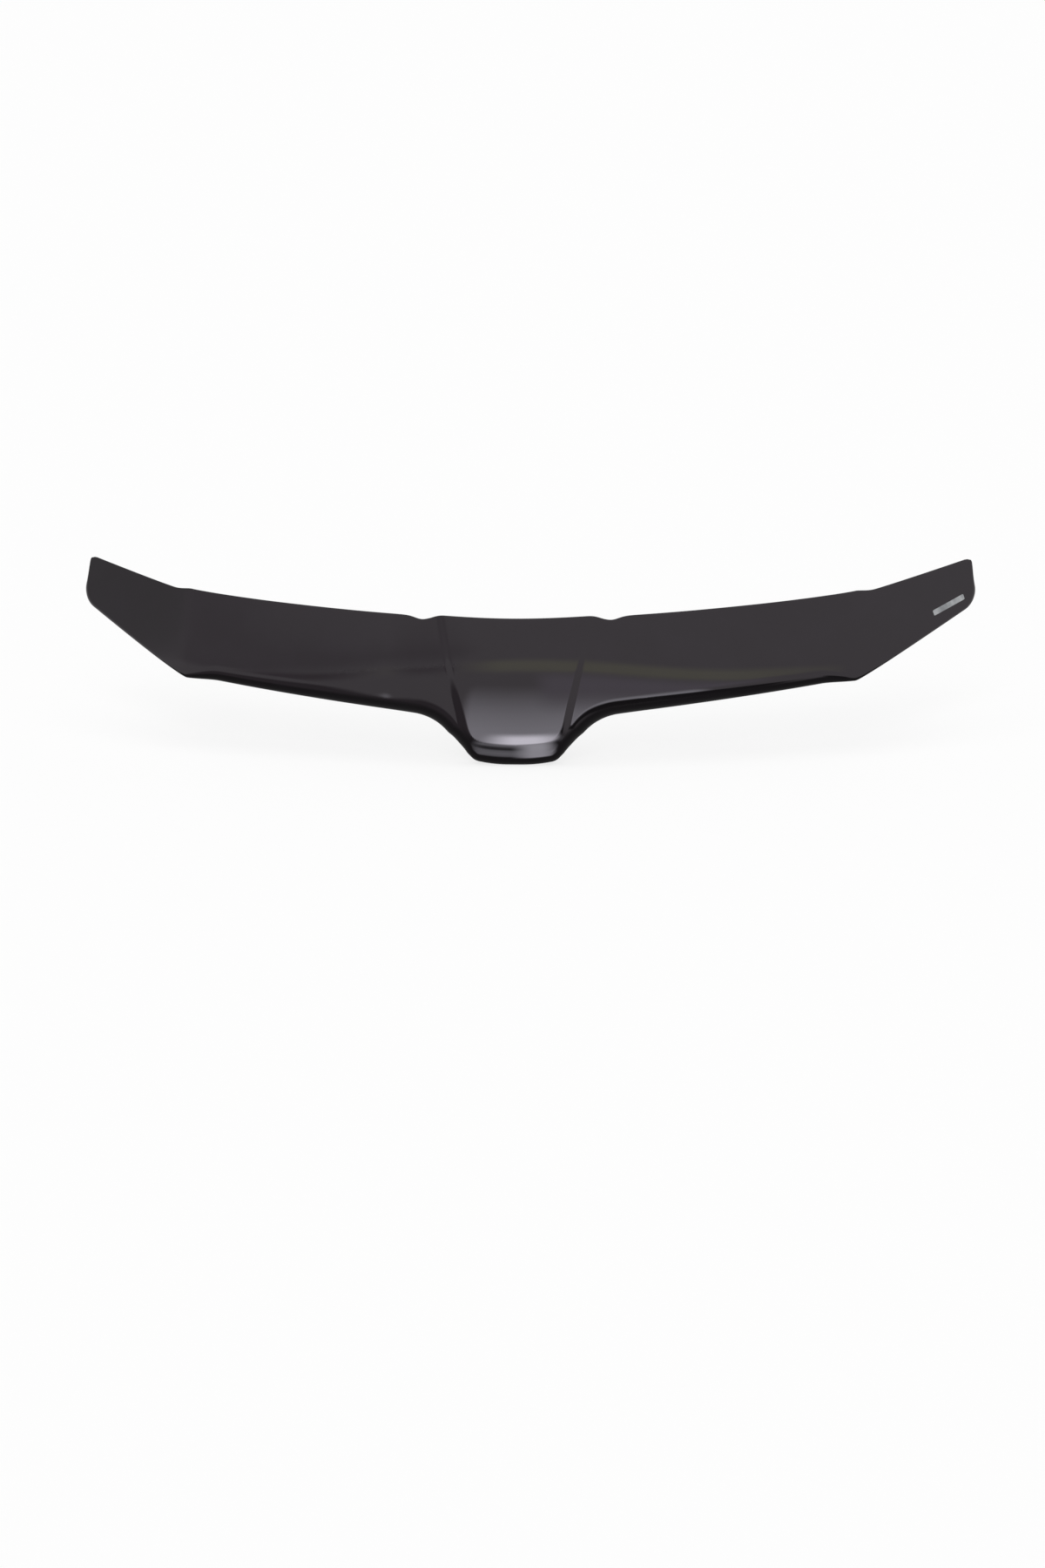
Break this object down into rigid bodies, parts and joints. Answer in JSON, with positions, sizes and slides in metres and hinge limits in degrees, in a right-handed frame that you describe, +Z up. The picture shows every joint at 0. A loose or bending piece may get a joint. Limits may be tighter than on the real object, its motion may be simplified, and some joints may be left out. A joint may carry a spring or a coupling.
{
  "type": "hood deflector",
  "caption": "Gloss black hood deflector: a swept one-piece shield with a raised nose, folded tips, a screw flange and rubber bumpers.",
  "frame": {"origin": "midway between the two nose screw holes, at half the thickness of the flange under the nose", "axes": "+X across the car to the viewer's right when looking at the front, +Y rearwards, +Z up; the front faces -Y"},
  "size_m": [1.2822, 0.2945, 0.2448],
  "materials": {
    "black_acrylic": "gloss",
    "silver_film": "satin",
    "foam_tape": "matt",
    "rubber": "matt"
  },
  "bodies": {
    "root": {"shield": "black_acrylic", "plain_strip": "silver_film", "tape_left": "foam_tape", "tape_right": "foam_tape", "bumper_inner_left": "rubber", "bumper_inner_right": "rubber", "bumper_middle_left": "rubber", "bumper_middle_right": "rubber", "bumper_outer_left": "rubber", "bumper_outer_right": "rubber"}
  },
  "joints": []
}
